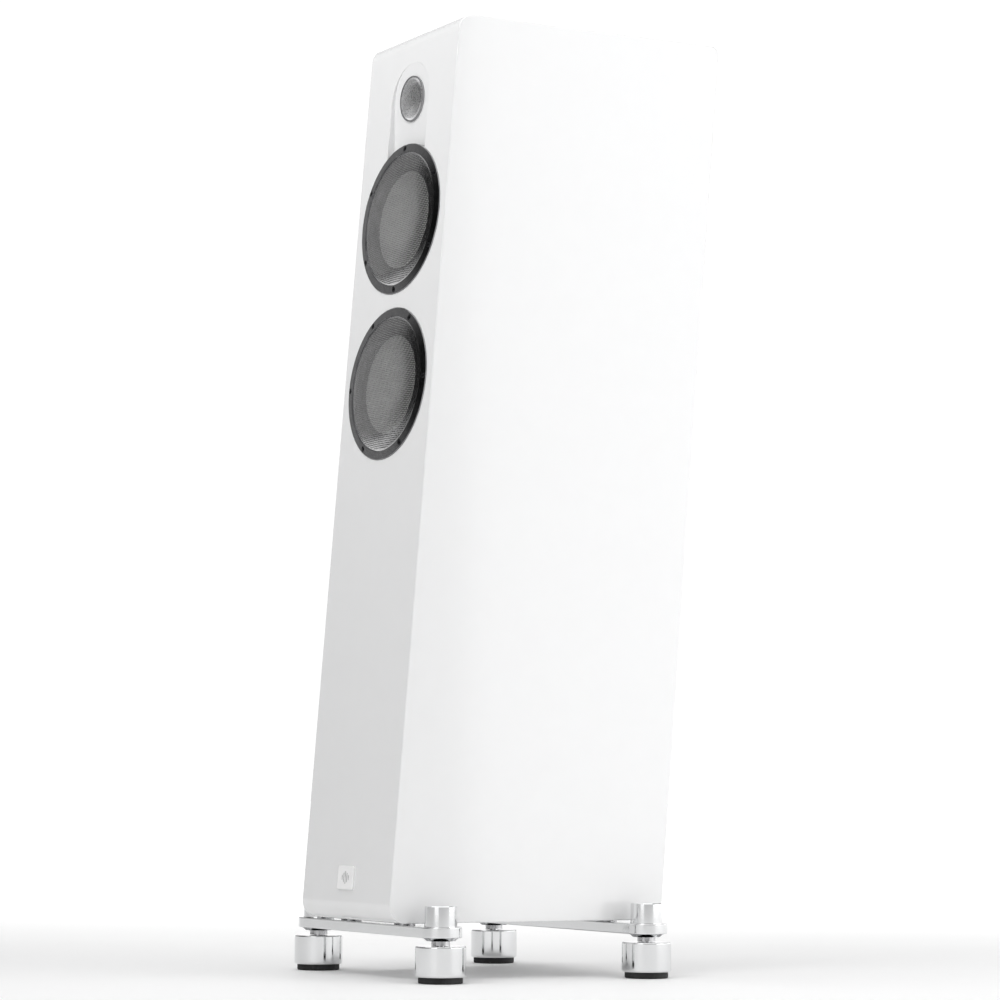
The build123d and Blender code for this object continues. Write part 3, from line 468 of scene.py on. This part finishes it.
GRILLE_R = 80.2 * MM
GRILLE_FLAT_R = 46.0 * MM
GRILLE_CROWN = 7.2 * MM
GRILLE_BORDER = 1.8 * MM  # plain edge of the sheet
GRILLE_LIFT = 0.08 * MM  # of the border over the mesh
GRILLE_SKIN = 1.0 * MM  # thickness of the border and of its wall
GRILLE_BEND = -0.4 * MM  # where the border's inside turns down
GRILLE_FOOT = -1.2 * MM
GRILLE_STEPS = 6
WOOFER_SHEET = {"pitch": 2.6 * MM, "opening": 1.85 * MM, "thickness": 0.45 * MM}
GRILLE_SHOULDER = 1.0 * MM  # height of the slope's foot
woofer_places = {
    which: turned_face(f"{which}_woofer_grille", OUT_FRONT, GRILLE_CROWN) for which in ("upper", "lower")
}


def woofer_height(radius):
    """Flat middle, then a slope that steepens towards the rim."""
    if radius <= GRILLE_FLAT_R:
        return GRILLE_CROWN
    rise = GRILLE_CROWN - GRILLE_SHOULDER
    run = GRILLE_R - GRILLE_FLAT_R
    bend = (run**2 + rise**2) / (2 * rise)
    reach = min(radius - GRILLE_FLAT_R, run)
    return GRILLE_CROWN - (bend - sqrt(bend**2 - reach**2))


def woofer_grille(which, place):
    reach = GRILLE_R - GRILLE_BORDER / 2
    mesh = perforated(f"{which}_grille_mesh", place, "grille_mesh", reach, woofer_height, **WOOFER_SHEET)
    border = [GRILLE_R - GRILLE_BORDER * (1 - i / GRILLE_STEPS) for i in range(GRILLE_STEPS + 1)]
    top = [(r, woofer_height(r) + GRILLE_LIFT) for r in border]
    inside = [(border[0], woofer_height(border[0]) - GRILLE_SKIN), (GRILLE_R - GRILLE_SKIN, GRILLE_BEND)]
    outline = [(GRILLE_R, GRILLE_FOOT), *reversed(top), *inside, (GRILLE_R - GRILLE_SKIN, GRILLE_FOOT)]
    rim = revolved(f"{which}_grille_rim", outline, place, "grille_mesh")
    for piece in (mesh, rim):
        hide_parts(f"{which}_woofer_grille")
        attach(piece, "cabinet")


for which, place in woofer_places.items():
    woofer_grille(which, place)

TWEETER_GRILLE_R = 25.6 * MM
TWEETER_CROWN = 7.0 * MM
TWEETER_SHOULDER = 1.4 * MM
TWEETER_BORDER = 2.4 * MM
TWEETER_LIFT = 0.06 * MM
TWEETER_SKIN = 0.6 * MM
TWEETER_FOOT = 0.6 * MM
TWEETER_WALL = 0.8 * MM  # how far the rim's foot narrows from its top
TWEETER_STEPS = 5
TWEETER_SHEET = {"pitch": 1.5 * MM, "opening": 1.05 * MM, "thickness": 0.5 * MM}
tweeter_place = turned_face("tweeter_grille", OUT_TWEETER, TWEETER_CROWN)


def tweeter_height(radius):
    """Dome that is part of a sphere."""
    rise = TWEETER_CROWN - TWEETER_SHOULDER
    sphere = (TWEETER_GRILLE_R**2 + rise**2) / (2 * rise)
    reach = min(radius, TWEETER_GRILLE_R)
    return TWEETER_CROWN - sphere + sqrt(sphere**2 - reach**2)


def tweeter_grille(place):
    reach = TWEETER_GRILLE_R - TWEETER_BORDER / 2
    mesh = perforated("tweeter_grille_mesh", place, "tweeter_mesh", reach, tweeter_height, **TWEETER_SHEET)
    border = [TWEETER_GRILLE_R - TWEETER_BORDER * (1 - i / TWEETER_STEPS) for i in range(TWEETER_STEPS + 1)]
    top = [(r, tweeter_height(r) + TWEETER_LIFT) for r in border]
    inside = [(border[0], tweeter_height(border[0]) - TWEETER_SKIN), (border[0] + TWEETER_WALL, TWEETER_FOOT)]
    outline = [(TWEETER_GRILLE_R, TWEETER_FOOT), *reversed(top), *inside]
    rim = revolved("tweeter_grille_rim", outline, place, "tweeter_mesh")
    for piece in (mesh, rim):
        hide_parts("tweeter_grille")
        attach(piece, "cabinet")


tweeter_grille(tweeter_place)


# ---------------------------------------------------------------- surrounds
def surround(node, body, place, radii, base, skin):
    """Half-roll surround whose outer lip stays still and whose inner lip follows a moving body.

    radii, in millimetres, are those of the outer lip, the roll's outer and inner edge, and the inner lip.
    """
    outer_lip, outer_r, inner_r, inner_lip = [radius * MM for radius in radii]
    crest = base + skin
    centre = ((outer_r + inner_r) / 2, crest)
    roll = (outer_r - inner_r) / 2
    outline = [(outer_lip, base), (outer_lip, crest), *arc(centre, roll, 0, 180), (inner_lip, crest)]
    outline += [(inner_lip, base), *arc((centre[0], crest - skin / 2), roll - skin, 180, 0)]
    piece = revolved(f"{node}_roll", outline, place, "surround_rubber", segments=ROLL_SEGMENTS)
    origin = place.translation
    out = place.to_3x3() @ Vector((0, 0, 1))
    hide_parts(node)
    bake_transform(piece, "cabinet", body, origin, origin + out * MM)
    weights = piece.data.attributes["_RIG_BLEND"].data
    for vertex, weight in zip(piece.data.vertices, weights):
        offset = vertex.co - origin
        radius = (offset - out * offset.dot(out)).length
        share = min(max((outer_r - radius) / (outer_r - inner_r), 0), 1)
        weight.value = share * share * (3 - 2 * share)  # smooth at both lips


RUBBER = 1.0 * MM
DOME_RUBBER = 0.3 * MM
WOOFER_ROLL = (76.5, 70.5, 61.5, 58.5)
WOOFER_ROLL_BASE = -5.6 * MM
RADIATOR_ROLL = (94.0, 88.5, 77.5, 73.5)
RADIATOR_ROLL_BASE = -3.0 * MM
RADIATOR_TOP = -2.2 * MM  # of the diaphragm, from the cabinet's back
TWEETER_ROLL = (20.6, 18.4, 15.6, 14.2)
TWEETER_ROLL_BASE = -2.0 * MM
for which, place in woofer_places.items():
    surround(f"{which}_woofer_surround", f"{which}_cone", place, WOOFER_ROLL, WOOFER_ROLL_BASE, RUBBER)
    rear_place = turned_face(f"{which}_radiator_diaphragm", OUT_REAR, RADIATOR_TOP)
    radiator = f"{which}_radiator"
    surround(f"{radiator}_surround", radiator, rear_place, RADIATOR_ROLL, RADIATOR_ROLL_BASE, RUBBER)
surround("tweeter_surround", "tweeter_dome", tweeter_place, TWEETER_ROLL, TWEETER_ROLL_BASE, DOME_RUBBER)

# ---------------------------------------------------------------- camera
CAMERA_YAW = radians(58.069)
CAMERA_PITCH = radians(5.537)
CAMERA_ROLL = radians(0.312)
CAMERA_PLACE = Vector((3.00184, -1.87979, 0.21604))
SENSOR_WIDTH = 36.0  # millimetres, as the focal length is
FOCAL_LENGTH = 106.9
CLIP_END = 100.0

camera = bpy.data.objects.new("camera", bpy.data.cameras.new("camera"))
bpy.context.scene.collection.objects.link(camera)
bpy.context.scene.camera = camera
camera.data.sensor_width = SENSOR_WIDTH
camera.data.lens = FOCAL_LENGTH
camera.data.clip_end = CLIP_END
turn = Matrix.Rotation(CAMERA_YAW, 4, "Z") @ Matrix.Rotation(pi / 2 + CAMERA_PITCH, 4, "X")
camera.matrix_world = Matrix.Translation(CAMERA_PLACE) @ turn @ Matrix.Rotation(CAMERA_ROLL, 4, "Z")

# ---------------------------------------------------------------- studio
VIEW_BACK = Vector((-sin(CAMERA_YAW), cos(CAMERA_YAW), 0))  # level direction the camera looks


def area_light(name, width, length, power, location):
    """Rectangular light that faces down and that the camera doesn't see."""
    light = bpy.data.lights.new(name, "AREA")
    light.shape = "RECTANGLE"
    light.size, light.size_y = width, length
    light.energy = power
    lamp = bpy.data.objects.new(name, light)
    bpy.context.scene.collection.objects.link(lamp)
    lamp.location = location
    lamp.visible_camera = False
    return lamp


def softbox(name, azimuth_deg, distance, width, low, high, power, mirrored=True):
    """Upright area light at an azimuth from +X, facing the object, from one height to another."""
    azimuth = radians(azimuth_deg)
    location = (distance * cos(azimuth), distance * sin(azimuth), (low + high) / 2)
    lamp = area_light(name, width, high - low, power, location)
    lamp.rotation_euler = (pi / 2, 0, azimuth + pi / 2)
    lamp.visible_glossy = mirrored


softbox("key_softbox", 41, distance=2.4, width=2.1, low=0.0, high=2.6, power=28)
softbox("rear_softbox", 86, distance=2.4, width=2.0, low=0.0, high=1.1, power=9.5)
softbox("front_softbox", -60, distance=2.2, width=1.0, low=0.0, high=2.4, power=7)
softbox("top_front_softbox", -92, distance=1.4, width=1.8, low=1.7, high=2.5, power=18, mirrored=False)
area_light("overhead_softbox", width=3.6, length=3.6, power=52, location=(0, -0.5, 3.0))

DARK_AZIMUTH = radians(-116)
DARK_SIDE = Vector((cos(DARK_AZIMUTH), sin(DARK_AZIMUTH), 0.3)).normalized()  # unlit end of the studio
DARK_EDGE = (cos(radians(32)), cos(radians(20)))  # the darkness sets in between these angles from it
DARK_LEVEL = 0.02
BRIGHT_EDGE = (cos(radians(36)), cos(radians(18)))  # the same for the brightness about VIEW_BACK
WORLD_LEVEL = 0.37
BRIGHT_LEVEL = 1.05
WHITE = (1, 1, 1, 1)


def studio_world():
    world = bpy.data.worlds.new("studio")
    bpy.context.scene.world = world
    world.use_nodes = True
    graph = Graph(world.node_tree, "Generated")
    background = graph.tree.nodes["Background"]
    fade = graph.ramped(graph.along(VIEW_BACK), *BRIGHT_EDGE, WORLD_LEVEL, BRIGHT_LEVEL, "SMOOTHSTEP")
    shade = graph.ramped(graph.along(DARK_SIDE), *DARK_EDGE, 1.0, DARK_LEVEL, "SMOOTHSTEP")
    both = graph.add("ShaderNodeMath", operation="MULTIPLY")
    graph.link(fade, both.inputs[0])
    graph.link(shade, both.inputs[1])
    graph.link(both.outputs["Value"], background.inputs["Strength"])
    background.inputs["Color"].default_value = WHITE


studio_world()

FLOOR_R = 40.0
FLOOR_SIDES = 64
FLOOR_TOP = -0.2 * MM  # just under the feet, so that no faces coincide
GLOW_REACH = (0.2, 3.0)  # metres along VIEW_BACK over which the floor brightens
GLOW_LEVEL = 0.75


def studio_floor():
    """Round floor that brightens towards VIEW_BACK, as a lit sweep does."""
    data = bpy.data.meshes.new("floor")
    turns = [2 * pi * side / FLOOR_SIDES for side in range(FLOOR_SIDES)]
    edge = [(FLOOR_R * cos(turn), FLOOR_R * sin(turn), FLOOR_TOP) for turn in turns]
    data.from_pydata(edge, [], [tuple(range(FLOOR_SIDES))])
    floor = bpy.data.objects.new("floor", data)
    bpy.context.scene.collection.objects.link(floor)
    look = Surface("studio_floor", Roughness=0.6, Specular_IOR_Level=0.2)
    look.colour(look.noise(40.0, detail=3.0), (0.925, 0.925, 0.925), (0.935, 0.935, 0.935))
    glow = look.ramped(look.along(VIEW_BACK), *GLOW_REACH, 0.0, GLOW_LEVEL, "SMOOTHSTEP")
    look.link(glow, look.shader.inputs["Emission Strength"])
    look.shader.inputs["Emission Color"].default_value = WHITE
    data.materials.append(look.material)


studio_floor()
bpy.context.scene.view_settings.view_transform = "Standard"
